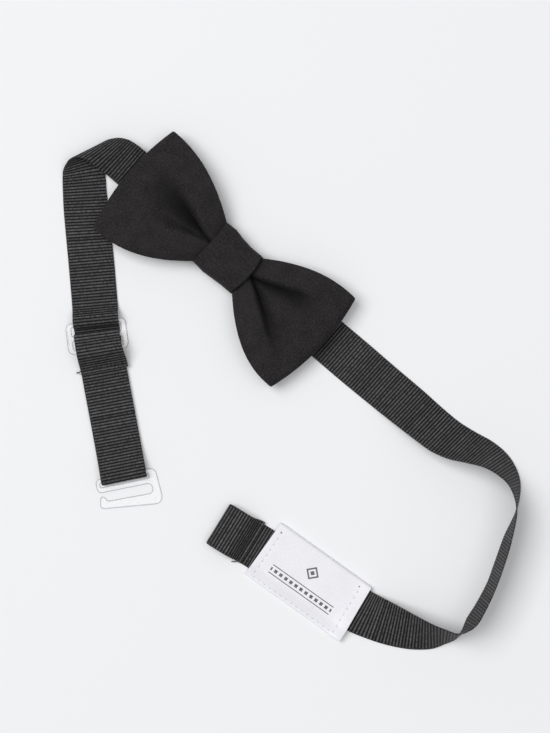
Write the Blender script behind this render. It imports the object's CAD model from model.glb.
# %% [markdown]
# # A ready-tied bow tie on its neck strap
#
# A ready-tied bow tie never has to be knotted. A tube of cloth is looped into two wings and
# gathered in the middle, a band of the same cloth is wrapped round it, and a ribbed strap that runs
# through the band goes round the neck. The strap has a slider, a hook and a sewn eye.
#
# Here every piece is a surface worked out from a few numbers. Lengths are written in millimetres,
# as a maker would measure them, and are turned into metres when a mesh is made.

import bmesh
import bpy
import numpy as np
from mathutils import Matrix
from mathutils.geometry import tessellate_polygon


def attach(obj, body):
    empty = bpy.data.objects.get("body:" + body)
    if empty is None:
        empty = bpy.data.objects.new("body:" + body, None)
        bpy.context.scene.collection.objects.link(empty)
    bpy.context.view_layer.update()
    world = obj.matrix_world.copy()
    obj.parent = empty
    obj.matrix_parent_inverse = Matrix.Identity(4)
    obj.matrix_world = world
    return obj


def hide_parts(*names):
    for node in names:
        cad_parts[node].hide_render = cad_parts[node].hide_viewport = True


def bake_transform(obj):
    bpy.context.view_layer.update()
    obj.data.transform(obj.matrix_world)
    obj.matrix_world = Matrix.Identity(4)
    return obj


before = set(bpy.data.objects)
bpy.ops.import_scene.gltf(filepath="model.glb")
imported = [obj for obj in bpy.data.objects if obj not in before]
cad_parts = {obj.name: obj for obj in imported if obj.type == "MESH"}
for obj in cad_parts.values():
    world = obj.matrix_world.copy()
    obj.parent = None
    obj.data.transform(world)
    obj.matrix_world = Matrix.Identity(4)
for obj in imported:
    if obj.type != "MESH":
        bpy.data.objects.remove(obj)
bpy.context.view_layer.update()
MM = 0.001

# %% [markdown]
# ## A camera straight above the table
#
# The tie lies on a table and is seen from straight above, so the camera looks down the Z axis. It
# is turned about that axis, so that the bow lies slanting in the picture. A long lens from almost a
# metre away keeps the tall and the flat parts in nearly the same scale.

# %% Camera
CAMERA_OVER = (47.2, -21.7)
CAMERA_HEIGHT = 895
CAMERA_TURN = np.arctan2(0.6675, 0.7446)

camera_data = bpy.data.cameras.new("camera")
camera_data.lens = 100
camera_data.sensor_width = 36
camera = bpy.data.objects.new("camera", camera_data)
camera.location = (CAMERA_OVER[0] * MM, CAMERA_OVER[1] * MM, CAMERA_HEIGHT * MM)
camera.rotation_euler = (0, 0, CAMERA_TURN)
bpy.context.scene.collection.objects.link(camera)
bpy.context.scene.camera = camera
print("picture is", round(camera_data.sensor_width / camera_data.lens * CAMERA_HEIGHT), "mm tall")

# %% [markdown]
# ## Light as in a product studio
#
# One big soft lamp stands high to the left, a larger and weaker one hangs above, and an even white
# room fills the shadows. The tie is almost black, so what shows its cloth is the difference between
# them. The picture is shown without a film-like curve, because white has to stay white and black
# has to stay deep.

# %% Lamps, room light and how the picture is shown
LAMPS_AIM = np.array([0.05, -0.03, 0])


def lamp(name, towards, distance, size, power):
    """A square area light `distance` metres from the tie's middle, which it looks at."""
    data = bpy.data.lights.new(name, "AREA")
    data.size = size
    data.energy = power
    obj = bpy.data.objects.new(name, data)
    way = np.array(towards, float) / np.linalg.norm(towards)
    place = LAMPS_AIM + way * distance
    side = np.cross([0, 0, 1.0], way)
    side /= np.linalg.norm(side)
    obj.matrix_world = Matrix(np.vstack([
        np.column_stack([side, np.cross(way, side), way, place]), [0, 0, 0, 1]]).tolist())
    bpy.context.scene.collection.objects.link(obj)


lamp("window", towards=(-0.72, -0.20, 1.30), distance=3.6, size=2.2, power=80)
lamp("ceiling", towards=(0.30, 0.15, 1.30), distance=3.6, size=2.8, power=36)

room = bpy.data.worlds.new("room")
room.use_nodes = True
sky = room.node_tree.nodes["Background"].inputs
sky["Color"].default_value = (0.985, 0.99, 1, 1)
sky["Strength"].default_value = 0.27
bpy.context.scene.world = room
bpy.context.scene.view_settings.view_transform = "Standard"

# %% [markdown]
# ## From a grid of points to a mesh
#
# A surface with two parameters becomes a grid of points, and a grid becomes a mesh by joining each
# point to its neighbours with four-sided faces. The index arithmetic is done once here, for whole
# arrays, and every cloth piece uses it.

# %% Grids and their faces
def grid_of(*values):
    """A grid whose points hold one of each value. A value varies along rows, columns or both."""
    return np.stack(np.broadcast_arrays(*values), -1)


def grid_faces(rows, columns, first=0, ring_rows=False, ring_columns=False):
    """Corner numbers of the faces between neighbours on a grid; a ring also joins last to first."""
    i = np.arange(rows if ring_rows else rows - 1)[:, None]
    j = np.arange(columns if ring_columns else columns - 1)[None, :]
    below, right = (i + 1) % rows, (j + 1) % columns
    number = lambda row, column: first + row * columns + column
    corners = [number(i, j), number(below, j), number(below, right), number(i, right)]
    return grid_of(*corners).reshape(-1, 4)


def facing_out(points, faces):
    """The faces, turned round if they enclose a negative volume.

    The volume is a sixth of the sum, over all triangles, of corner a times (b cross c)."""
    a, b, c, d = (points[faces[:, k]] for k in range(4))
    volume = np.sum(a * np.cross(b, c)) + np.sum(a * np.cross(c, d))
    return faces if volume > 0 else faces[:, ::-1]


# %% [markdown]
# A finished piece needs more than a mesh. It gets smooth shading, a UV map in millimetres of
# cloth, so that a weave keeps its size however the cloth is bent, and a body that it moves with.

# %% Make a piece
def new_piece(name, points, faces, uv=None, flat_faces=0, pleat=None):
    """A mesh object at the origin. `points` are millimetres; the last `flat_faces` faces are flat
    cut ends, and all others are shaded smooth. `pleat` says how deep in a pleat each point is."""
    faces = facing_out(points, faces)
    mesh = bpy.data.meshes.new(name)
    mesh.from_pydata((points * MM).tolist(), [], faces.tolist())
    smooth = np.ones(len(faces), bool)
    smooth[len(faces) - flat_faces:] = False
    mesh.polygons.foreach_set("use_smooth", smooth)
    if uv is not None:
        corner = np.empty(len(mesh.loops), np.int32)
        mesh.loops.foreach_get("vertex_index", corner)
        layer = mesh.uv_layers.new(name="cloth_mm")
        layer.uv.foreach_set("vector", uv[corner].astype(np.float32).ravel())
    if pleat is not None:
        mesh.attributes.new("pleat", "FLOAT", "POINT").data.foreach_set("value", pleat.ravel())
    mesh.update()
    obj = bpy.data.objects.new(name, mesh)
    bpy.context.scene.collection.objects.link(obj)
    return obj


def dress(obj, material, body=None, instead_of=()):
    """Gives a piece its finish, the body that it rides on, and the nodes that it stands for."""
    obj.data.materials.clear()
    obj.data.materials.append(material)
    if body:
        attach(obj, body)
    if instead_of:
        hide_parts(*instead_of)
    triangles = sum(len(p.vertices) - 2 for p in obj.data.polygons)
    print(f"{obj.name}: {triangles} triangles")


def join_doubles(obj):
    """Merges points that lie on each other, such as the ends of a tube that run to a point."""
    work = bmesh.new()
    work.from_mesh(obj.data)
    bmesh.ops.remove_doubles(work, verts=work.verts, dist=1e-7)
    work.to_mesh(obj.data)
    work.free()


# %% [markdown]
# ## Cloth with a thickness
#
# Cloth is first drawn as its middle surface. Both faces are that surface moved out along its
# normal, and the rim is closed by walls. Letting the thickness fade near the rim makes the edge
# round, as a fold or a woven edge is.

# %% A sheet with two faces
def slab(middle, half):
    """Points and faces of a closed sheet. `middle` is a grid of points, `half` the half thickness.

    The normal is the cross product of the grid's two directions, made one unit long."""
    along = np.gradient(middle, axis=0)
    across = np.gradient(middle, axis=1)
    normal = np.cross(along, across)
    normal /= np.linalg.norm(normal, axis=2, keepdims=True)
    offset = normal * half[..., None]
    points = np.concatenate([middle + offset, middle - offset]).reshape(-1, 3)
    rows, columns = half.shape
    top, bottom = np.arange(2 * rows * columns).reshape(2, rows, columns)
    wall = lambda a, b: np.stack([a[:-1], a[1:], b[1:], b[:-1]], -1)
    faces = np.concatenate([
        grid_faces(rows, columns),
        grid_faces(rows, columns, first=rows * columns)[:, ::-1],
        wall(top[::-1, 0], bottom[::-1, 0]),
        wall(top[:, -1], bottom[:, -1]),
        wall(top[0], bottom[0]),
        wall(top[-1, ::-1], bottom[-1, ::-1]),
    ])
    return points, faces, 2 * (columns - 1)


def cloth_piece(name, middle, half, uv, pleat=None):
    """A piece that is one sheet of cloth. Both its sides get the same UV map and pleat depths."""
    points, faces, flat = slab(middle, half)
    if pleat is not None:
        pleat = np.concatenate([pleat, pleat])
    return new_piece(name, points, faces, np.tile(uv.reshape(-1, 2), (2, 1)), flat, pleat)


# %% Smooth steps and unevenness
def smooth_step(x):
    """Goes from 0 to 1 as x does, level at both ends: 3 x squared minus 2 x cubed."""
    x = np.clip(x, 0, 1)
    return x * x * (3 - 2 * x)


def unevenness(x, y, length, seed):
    """Gentle random hills between about -1 and 1: the mean of six waves in random directions,
    each as long as `length` to twice that."""
    rng = np.random.default_rng(seed)
    total = np.zeros(np.broadcast(x, y).shape)
    for _ in range(6):
        way, start = rng.uniform(0, 2 * np.pi, 2)
        pitch = length * rng.uniform(1, 2)
        total += np.sin(2 * np.pi * (x * np.cos(way) + y * np.sin(way)) / pitch + start)
    return total / 3


# %% [markdown]
# ## Curves through points
#
# The strap's route is given by a few stations, and a smooth curve has to pass through all of them
# without swinging out. The centripetal rule does that: it weights each neighbour by the square root
# of its distance, so a short span next to a long one doesn't overshoot.

# %% Smooth curve through stations
def through(points, steps=40):
    """A curve through all points, with `steps` pieces per span. Each span is a cubic that leaves
    and arrives with a slope taken from its neighbours, by the centripetal rule."""
    p = np.asarray(points, float)
    p = np.vstack([2 * p[0] - p[1], p, 2 * p[-1] - p[-2]])
    hop = np.diff(p, axis=0)
    weight = np.sqrt(np.linalg.norm(hop, axis=1))[:, None]
    w0, w1, w2 = weight[:-2], weight[1:-1], weight[2:]
    h0, h1, h2 = hop[:-2], hop[1:-1], hop[2:]
    leave = (h0 / w0 - (h0 + h1) / (w0 + w1) + h1 / w1) * w1
    arrive = (h1 / w1 - (h1 + h2) / (w1 + w2) + h2 / w2) * w1
    t = (np.arange(steps) / steps)[:, None, None]
    curve = ((2 * t**3 - 3 * t**2 + 1) * p[1:-2] + (t**3 - 2 * t**2 + t) * leave
             + (3 * t**2 - 2 * t**3) * p[2:-1] + (t**3 - t**2) * arrive)
    return np.vstack([curve.transpose(1, 0, 2).reshape(-1, 3), p[-2]])


def travelled(path):
    """How far along the path each of its points lies."""
    return np.concatenate([[0], np.cumsum(np.linalg.norm(np.diff(path, axis=0), axis=1))])


def even(path, at, run):
    """Points of the path at the distances `at`, where `run` is each point's own distance."""
    return np.stack([np.interp(at, run, column) for column in path.T], -1)


def ring_outwards(ring):
    """The way out at each point of a closed plane outline that runs anticlockwise: the line from
    the point before to the point after, turned a quarter to the right and made one unit long."""
    tangent = np.roll(ring, -1, axis=0) - np.roll(ring, 1, axis=0)
    out = np.stack([tangent[:, 1], -tangent[:, 0]], -1)
    return out / np.linalg.norm(out, axis=1, keepdims=True)


# %% [markdown]
# ## The ribbed strap
#
# Grosgrain is a ribbon with thick crosswise threads, so it has round ribs with narrow grooves
# between them, on both faces. A bump map would look flat from the side, so the ribs are shaped: a
# rib's height follows the sine of its way across, raised to a low power, which makes it round on
# top and sharp in the groove. At the woven edge each rib's thread turns back and sticks out a bit.

# %% Ribbon along stations
STRAP_WIDTH = 20
STRAP_THICKNESS = 0.7
RIB_PITCH = 1.34
RIB_DEPTH = 0.17
ROWS_PER_RIB = 8
RIB_POWER = 0.6
LOWEST_RIB = 0.86
EDGE_ROUND = 0.05
ribbon_across = np.array([-1, -0.985, -0.95, -0.8, -0.4, 0, 0.4, 0.8, 0.95, 0.985, 1])


def ribbon(name, stations, seed):
    """A ribbed ribbon. Each station is [upper edge, lower edge]; the ribbon is ruled straight
    between the two edges, and takes a whole number of ribs, so that pieces meet in a groove."""
    stations = np.asarray(stations, float)
    upper, lower = through(stations[:, 0]), through(stations[:, 1])
    run = travelled((upper + lower) / 2)
    ribs = round(run[-1] / RIB_PITCH)
    rib = np.arange(ribs * ROWS_PER_RIB + 1) / ROWS_PER_RIB
    upper, lower = (even(edge, rib * run[-1] / ribs, run) for edge in (upper, lower))
    a = ribbon_across[None, :]
    height = np.abs(np.sin(np.pi * rib))[:, None] ** RIB_POWER
    rng = np.random.default_rng(seed)
    height = height * rng.uniform(LOWEST_RIB, 1, ribs + 1)[rib.astype(int)][:, None]
    loops = 1 + 0.008 * (height - 0.6) * np.abs(a) ** 8
    centre, side = (upper + lower)[:, None] / 2, (upper - lower)[:, None] / 2
    middle = centre + side * (a * loops)[..., None]
    edge = np.sqrt(np.clip((1 - np.abs(a)) / EDGE_ROUND, 0.12, 1))
    half = (STRAP_THICKNESS / 2 - RIB_DEPTH * (1 - height)) * edge
    uv = grid_of(a * STRAP_WIDTH / 2, rib[:, None])
    print(f"{name}: {run[-1]:.1f} mm of ribbon, {ribs} ribs")
    return cloth_piece(name, middle, half, uv), run[-1]


# %% [markdown]
# ## Finishes: building blocks
#
# Several finishes need the same effects, so each effect is a node group: a small network with named
# inputs and outputs that is built once and used with different values. The groups only put out
# numbers and colours that change over the surface. The shader itself stays in each material.

# %% Small helpers for node networks
def add_node(tree, kind, inputs=None, **settings):
    """A node with its settings and inputs; an input is a value or another node's output."""
    node = tree.nodes.new(kind)
    for key, value in settings.items():
        setattr(node, key, value)
    for key, value in (inputs or {}).items():
        if isinstance(value, bpy.types.NodeSocket):
            tree.links.new(value, node.inputs[key])
        else:
            node.inputs[key].default_value = value
    return node


def maths(tree, operation, *values):
    """A Math node's result; values are numbers or sockets."""
    node = add_node(tree, "ShaderNodeMath", dict(enumerate(values)), operation=operation)
    return node.outputs[0]


def product(tree, first, *others):
    """All values multiplied together."""
    for value in others:
        first = maths(tree, "MULTIPLY", first, value)
    return first


def blend_colours(tree, share, first, second):
    """A mix of two colours; share 0 gives the first."""
    inputs = {0: share, 6: first, 7: second}
    return add_node(tree, "ShaderNodeMix", inputs, data_type="RGBA").outputs[2]


def effect(name, inputs, outputs):
    """An empty node group with named sockets: {name: (socket kind, default)}."""
    tree = bpy.data.node_groups.new(name, "ShaderNodeTree")
    for key, (kind, value) in inputs.items():
        socket = tree.interface.new_socket(key, in_out="INPUT", socket_type="NodeSocket" + kind)
        if value is not None:
            socket.default_value = value
    for key, kind in outputs.items():
        tree.interface.new_socket(key, in_out="OUTPUT", socket_type="NodeSocket" + kind)
    return tree, tree.nodes.new("NodeGroupInput"), tree.nodes.new("NodeGroupOutput")


def use(tree, group, **inputs):
    """Places a group in a material. An underscore in an input's name stands for a space."""
    inputs = {key.replace("_", " "): value for key, value in inputs.items()}
    return add_node(tree, "ShaderNodeGroup", inputs, node_tree=group)


# %% Small helpers for materials
def new_material(name, **values):
    """A material with one Principled shader, whose sockets are set to the given values."""
    material = bpy.data.materials.new(name)
    material.use_nodes = True
    shader = material.node_tree.nodes["Principled BSDF"]
    for key, value in values.items():
        shader.inputs[key.replace("_", " ")].default_value = value
    return material, material.node_tree, shader


def cloth_place(tree):
    """Where a point lies on the cloth, in millimetres, whichever way the cloth is bent."""
    return add_node(tree, "ShaderNodeUVMap", uv_map="cloth_mm").outputs["UV"]


def tones(colour, *shares):
    """A colour made darker or lighter by each share."""
    return [tuple(share * c for c in colour) + (1,) for share in shares]


def put_bump(tree, shader, height, strength, depth):
    """Gives the shader a bump that is `depth` millimetres high where the height is 1."""
    bump = add_node(tree, "ShaderNodeBump",
                    {"Height": height, "Strength": strength, "Distance": depth * MM})
    tree.links.new(bump.outputs["Normal"], shader.inputs["Normal"])


# %% [markdown]
# Cloth is never one even colour. Its fibres take dye unevenly, which is seen as soft clouds and as
# fine grain, and here and there a light fibre lies on it.

# %% Effect: uneven dye and lint
dye, dye_in, dye_out = effect(
    "uneven dye",
    {"Place": ("Vector", None), "Cloud size": ("Float", 6.0), "Grain size": ("Float", 0.5),
     "Lint": ("Float", 0.5)},
    {"Shade": "Float", "Lint mask": "Float"},
)


def noise(tree, place, size, detail=2.0, rough=0.5):
    """Noise whose blobs are about `size` millimetres wide, around 0.5."""
    varies = isinstance(size, bpy.types.NodeSocket)
    scale = maths(tree, "DIVIDE", 1.0, size) if varies else 1 / size
    return add_node(tree, "ShaderNodeTexNoise", {
        "Vector": place, "Scale": scale, "Detail": detail, "Roughness": rough}).outputs["Fac"]


place = dye_in.outputs["Place"]
clouds = noise(dye, place, dye_in.outputs["Cloud size"], 3.0)
grain = noise(dye, place, dye_in.outputs["Grain size"], 1.0)
cloudy = maths(dye, "MULTIPLY_ADD", clouds, 0.7, -0.65)
shade = maths(dye, "MULTIPLY_ADD", grain, 1.6, cloudy)
specks = add_node(dye, "ShaderNodeTexVoronoi", {"Vector": place, "Scale": 0.22})
near = maths(dye, "LESS_THAN", specks.outputs["Distance"], 0.045)
lint_mask = maths(dye, "MULTIPLY", near, dye_in.outputs["Lint"])
dye.links.new(shade, dye_out.inputs["Shade"])
dye.links.new(lint_mask, dye_out.inputs["Lint mask"])
print("effect:", dye.name)

# %% [markdown]
# A plain weave is a checkerboard of small bumps, where one thread passes over the other.
# Multiplying one sine along the cloth with one across it gives just that.

# %% Effect: plain weave
weave, weave_in, weave_out = effect(
    "plain weave", {"Place": ("Vector", None), "Thread pitch": ("Float", 0.35)},
    {"Height": "Float"},
)
split = add_node(weave, "ShaderNodeSeparateXYZ", {"Vector": weave_in.outputs["Place"]})
turn = maths(weave, "DIVIDE", np.pi, weave_in.outputs["Thread pitch"])
waves = [maths(weave, "SINE", maths(weave, "MULTIPLY", split.outputs[k], turn)) for k in (0, 1)]
checker = maths(weave, "MULTIPLY", *waves)
weave.links.new(maths(weave, "MULTIPLY_ADD", checker, 0.5, 0.5), weave_out.inputs["Height"])
print("effect:", weave.name)

# %% [markdown]
# ## The finishes
#
# The bow's cloth is a fine matt black, a warm black rather than a blue one. It shines only a
# little where it turns away, which the shader's sheen does. Deep in a pleat cloth faces cloth and
# takes the light from it, so the colour also darkens by the depth that the wing's mesh carries.

# %% Bow cloth and interlining
def cloth_finish(name, colour, pitch, depth, roughness, lint):
    """Matt woven cloth: dye clouds in its colour, and the weave as a fine bump."""
    material, tree, shader = new_material(
        name, Roughness=roughness, Specular_IOR_Level=0.12, Sheen_Weight=0.03,
        Sheen_Roughness=0.45)
    uv = cloth_place(tree)
    tone = use(tree, dye, Place=uv, Grain_size=0.75, Lint=lint)
    threads = use(tree, weave, Place=uv, Thread_pitch=pitch).outputs["Height"]
    hidden, dark, light = tones(colour, 0.12, 0.3, 1.7)
    body = blend_colours(tree, tone.outputs["Shade"], dark, light)
    crossing = blend_colours(tree, maths(tree, "MULTIPLY", threads, 0.2), body, light)
    tinted = blend_colours(tree, tone.outputs["Lint mask"], crossing, (0.16, 0.16, 0.16, 1))
    pleat = add_node(tree, "ShaderNodeAttribute", attribute_name="pleat").outputs["Fac"]
    tree.links.new(blend_colours(tree, pleat, tinted, hidden), shader.inputs["Base Color"])
    put_bump(tree, shader, threads, 0.35, depth)
    return material


bow_cloth = cloth_finish("matt black bow cloth", (0.0208, 0.0190, 0.0196), 0.34, 0.05, 0.85, 0.5)
lining_cloth = cloth_finish("black interlining", (0.012, 0.0115, 0.012), 1.1, 0.08, 0.95, 0.0)
print("finishes:", bow_cloth.name, lining_cloth.name)

# %% [markdown]
# The strap's ribs catch the light and its grooves hold none, much more so than their shape alone
# would show, because the groove is where two threads of black dye face each other. So the colour
# follows the rib as well. Fine lengthwise threads run over the ribs.

# %% Grosgrain
LENGTHWISE_PITCH = 0.42

grosgrain, tree, shader = new_material(
    "black grosgrain", Roughness=0.62, Specular_IOR_Level=0.1, Sheen_Weight=0.03)
uv = cloth_place(tree)
axes = add_node(tree, "ShaderNodeSeparateXYZ", {"Vector": uv})
across, ribs_along = axes.outputs[0], axes.outputs[1]
groove = maths(tree, "ABSOLUTE", maths(tree, "SINE", product(tree, ribs_along, np.pi)))
crest = maths(tree, "POWER", groove, 2.2)
rib_number = maths(tree, "FLOOR", ribs_along)
on_thread = add_node(tree, "ShaderNodeCombineXYZ",
                     {"X": across, "Y": product(tree, rib_number, 7.3)}).outputs[0]
dashes = add_node(tree, "ShaderNodeMapRange", {
    "Value": noise(tree, on_thread, 0.7, 1.0), "From Min": 0.3, "From Max": 0.68,
    "To Min": 0.45, "To Max": 1.0}).outputs[0]
on_rib = add_node(tree, "ShaderNodeCombineXYZ", {"X": product(tree, rib_number, 3.1)}).outputs[0]
rib_tone = maths(tree, "MULTIPLY_ADD", noise(tree, on_rib, 1.0, 0.0), 1.4, 0.4)
lengthwise = maths(tree, "SINE", product(tree, across, 2 * np.pi / LENGTHWISE_PITCH))
fine = product(tree, rib_tone, maths(tree, "MULTIPLY_ADD", lengthwise, 0.12, 0.88))
tone = use(tree, dye, Place=uv, Cloud_size=5.0, Grain_size=0.8, Lint=0.15)
cloud = maths(tree, "MULTIPLY_ADD", tone.outputs["Shade"], 0.5, 0.6)
lit = product(tree, product(tree, crest, dashes), product(tree, fine, cloud))
black = blend_colours(tree, lit, (0.0015, 0.0014, 0.0015, 1), (0.142, 0.1385, 0.1425, 1))
black = blend_colours(tree, tone.outputs["Lint mask"], black, (0.2, 0.2, 0.2, 1))
tree.links.new(black, shader.inputs["Base Color"])
put_bump(tree, shader, lengthwise, 0.3, 0.04)
print("finish:", grosgrain.name)

# %% [markdown]
# Sewing thread is two strands twisted together. The twist is shaped in its mesh, so the finish only
# adds fibres.

# %% Threads
def thread_finish(name, colour):
    """A slightly shiny spun thread."""
    material, tree, shader = new_material(name, Roughness=0.6, Specular_IOR_Level=0.4)
    place = add_node(tree, "ShaderNodeTexCoord").outputs["Object"]
    millimetres = add_node(tree, "ShaderNodeVectorMath", {0: place, "Scale": 1 / MM},
                           operation="SCALE")
    fibres = noise(tree, millimetres.outputs[0], 0.25, 2.0)
    spun = blend_colours(tree, fibres, *tones(colour, 0.6, 1.35))
    tree.links.new(spun, shader.inputs["Base Color"])
    return material


thread = {
    "black": thread_finish("black sewing thread", (0.02, 0.0195, 0.0205)),
    "white": thread_finish("white sewing thread", (0.62, 0.61, 0.66)),
}
print("finishes:", [material.name for material in thread.values()])

# %% [markdown]
# Clear plastic bends the light that passes through it, so it is seen by the darker and lighter
# lines at its edges. This kind is a little milky, so a part of it is matt. Its rounded rims look
# grey, because there the way through the plastic is long. It isn't quite flat, so faint ripples
# disturb what is seen through it. A renderer would give it a nearly black shadow, so light on its
# way to or from a matt surface, such as the table's, is let straight through.

# %% Clear plastic
clear_plastic, tree, shader = new_material(
    "clear moulded plastic", Roughness=0.05, IOR=1.3, Transmission_Weight=0.78)
slanting = add_node(tree, "ShaderNodeLayerWeight", {"Blend": 0.8}).outputs["Facing"]
tint = blend_colours(tree, slanting, (1, 1, 1, 1), (0.3, 0.31, 0.33, 1))
tree.links.new(tint, shader.inputs["Base Color"])
place = add_node(tree, "ShaderNodeTexCoord").outputs["Object"]
put_bump(tree, shader, noise(tree, place, 2.2 * MM, 1.0), 0.25, 0.08)
straight = add_node(tree, "ShaderNodeBsdfTransparent", {"Color": (0.985, 0.985, 0.99, 1)})
rays = add_node(tree, "ShaderNodeLightPath").outputs
passing = maths(tree, "MAXIMUM", rays["Is Shadow Ray"], rays["Is Diffuse Ray"])
both = add_node(tree, "ShaderNodeMixShader",
                {0: passing, 1: shader.outputs[0], 2: straight.outputs[0]})
tree.links.new(both.outputs[0], tree.nodes["Material Output"].inputs["Surface"])
print("finish:", clear_plastic.name)

# %% [markdown]
# ## The strap, as one ribbon from the left turn to the eye
#
# The strap comes up from the slider, rolls over at the left, passes behind the bow and through the
# knot, tips up on its edge at the right, comes round, passes through the label, and is folded back
# and sewn into an eye. It is one ribbon, so it is modelled as one, with its stations in order.

# %% Stations of the left turn and of the stretch behind the bow
FLOOR = STRAP_THICKNESS / 2
LAYER = STRAP_THICKNESS + 0.3
IN_KNOT = 1.55

left_turn = [
    [[-44, 10.7, 0.5], [-44, -8.8, FLOOR]],
    [[-50, 10.6, 1.3], [-50, -8.6, 0.6]],
    [[-55.5, 10.5, 3], [-55.5, -8.3, 1.2]],
    [[-62, 10.2, 6.2], [-62, -8.3, 2.6]],
    [[-66.5, 9.1, 8.3], [-68.3, -8.8, 4.8]],
    [[-70, 6.9, 9.2], [-73.8, -9.6, 7.2]],
    [[-72.6, 3.6, 8.2], [-77.6, -11.2, 8.3]],
    [[-73.9, 0.2, 5.6], [-79.7, -14, 6.8]],
    [[-73, -2.4, 2.8], [-80, -16.8, 4.4]],
    [[-69.6, -4.6, 1.2], [-79.3, -19.8, 2.2]],
    [[-64.5, -8.8, 0.5], [-77, -22.9, 0.9]],
    [[-59.6, -13.5, FLOOR], [-73, -27.2, 0.4]],
]


def behind_bow(x):
    """The station behind the bow at x: the strap lifts and draws in where the knot holds it."""
    held = smooth_step((26 - abs(x - 1)) / 12)
    share = (x + 44) / 88
    upper = (10.7 + 1.8 * share) * (1 - held) + 9.7 * held
    lower = (-8.8 + 1.2 * share) * (1 - held) - 9.4 * held
    z = FLOOR + (IN_KNOT - FLOOR) * held
    return [[x, upper, z], [x, lower, z]]


behind = [behind_bow(x) for x in (-36, -28, -20, -12, -5, 1, 7, 14, 21, 28, 36, 44)]
print("stations:", len(left_turn) + len(behind))

# %% Stations from the bow round the right side to the label
right_side = [
    [[58, 12.7, FLOOR], [58, -7.4, FLOOR]],
    [[72, 13.1, FLOOR], [72, -7.1, FLOOR]],
    [[88, 13.4, FLOOR], [88, -6.4, 0.8]],
    [[103, 13.8, FLOOR], [102.3, -5.6, 4]],
    [[115, 13.8, FLOOR], [114, -4.8, 8]],
    [[124, 14.2, FLOOR], [122.3, -3.9, 9.6]],
    [[132, 15.6, FLOOR], [129.8, -1.4, 12]],
    [[140, 17.4, FLOOR], [136.8, 2.6, 14.4]],
    [[147.8, 17.8, FLOOR], [143.5, 6.1, 16.6]],
    [[154.5, 16.3, FLOOR], [150.5, 7.6, 18.2]],
    [[161.5, 12.2, FLOOR], [157, 7.2, 19.2]],
    [[168, 2.8, FLOOR], [165, 2.5, 20]],
    [[172, -10, FLOOR], [173.3, -10.3, 20]],
    [[176, -20, FLOOR], [177.9, -20, 19.8]],
    [[180, -30, FLOOR], [181.8, -29.8, 19.8]],
    [[182.5, -40, FLOOR], [184.8, -39.6, 19.6]],
    [[183.9, -48, FLOOR], [186.2, -46.8, 19.4]],
    [[185.9, -53.8, FLOOR], [184.9, -51.5, 19.4]],
    [[186.1, -58.1, FLOOR], [182.5, -55, 19]],
    [[184.1, -62.7, FLOOR], [178.4, -56.8, 17.8]],
    [[181.6, -67.6, FLOOR], [172.3, -59.2, 15.5]],
    [[175, -74, FLOOR], [165, -61.3, 12]],
    [[166, -79.7, FLOOR], [156.5, -63.6, 7.5]],
    [[156.5, -84, FLOOR], [149.5, -65.7, 3.5]],
    [[147.7, -86.9, 1], [144.2, -67.1, 1.1]],
]
print("stations:", len(right_side))

# %% [markdown]
# The eye end is easier to give from the side: how far along from its fold, and how high. The strap
# lies on the table, turns up and over at the fold, and comes back on top with room for the hook.

# %% Stations of the label run and the eye, and the whole strap
EYE_FOLD = np.array([74.4, -89.5])
EYE_WAY = np.radians(10.3)
eye_along = np.array([np.cos(EYE_WAY), np.sin(EYE_WAY)])
eye_side = np.array([-np.sin(EYE_WAY), np.cos(EYE_WAY)])


def eye_station(b, z):
    """Both edges of the strap, b from the eye's fold and at height z. The edge that is upper on
    the flap is the lower one of the strap that comes round from the right."""
    middle = EYE_FOLD + b * eye_along
    return [[*(middle + s * eye_side * STRAP_WIDTH / 2), z] for s in (-1, 1)]


def stand_out(stations, edge, count, by):
    """Moves one edge of the last `count` stations outwards, more and more up to `by`, because the
    end of a strap is sewn down a little askew."""
    for k, station in enumerate(stations[-count:], 1):
        way = np.subtract(station[edge], station[1 - edge])
        way /= np.linalg.norm(way)
        station[edge] = (np.array(station[edge]) + by * smooth_step(k / count) * way).tolist()


under_label = [eye_station(b, 1.1) for b in (55, 36, 23)]
eye_profile = [
    (20.5, FLOOR), (15, FLOOR), (9, FLOOR), (3.4, FLOOR), (1.7, 0.75), (0.6, 2), (0.4, 3.6),
    (1.1, 5.1), (3, 6), (7, 6.15), (10.6, 5.7), (13.2, 3.7), (14.8, 1.75), (16, 1.4),
    (17.6, FLOOR + LAYER),
]
eye_loop = [eye_station(b, z) for b, z in eye_profile]
stand_out(eye_loop, 1, 6, 1.0)
neck_stations = left_turn[::-1] + behind + right_side + under_label + eye_loop


def strap_piece(name, stations, seed, nodes, body=None, **held):
    """A ribbon with its finish, its body, the nodes it stands for and its flat size."""
    obj, length = ribbon(name, stations, seed)
    dress(obj, grosgrain, body, nodes)
    return obj


strap_piece("neck_strap", neck_stations, 1, (
    "strap_left_turn", "strap_behind_bow", "strap_right_run", "strap_right_rise",
    "strap_right_side", "strap_right_return", "strap_label_run", "strap_eye_base",
    "strap_eye_loop"), "root", held="laid")

# %% [markdown]
# ## The strap at the slider and the hook
#
# From the left turn the strap runs straight to the slider, goes over, under and over its bars, runs
# on to the hook, round its bar, and back on top of itself to the slider's middle bar, where its end
# is turned round and sewn. When the slider moves, the stretches between change length, so those are
# blended from one body to the next, and the bent ends ride.

# %% Side view of the adjustable end
SLIDER_CENTRE = np.array([-19.7, -63.8])
RUN_WAY, TAIL_WAY, HOOK_WAY = -43.2, -37.5, -36.5
RUN_END, WEAVE_END, FOLD_START = -16, 15, 56
HOOK_BAR_AT, HOOK_BAR_Z, FOLD_RADIUS = 62.6, 2.25, 1.9
OVER_BAR = 4.85
SECOND_OVER = OVER_BAR + LAYER
UNDER_BAR = 1.65


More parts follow.
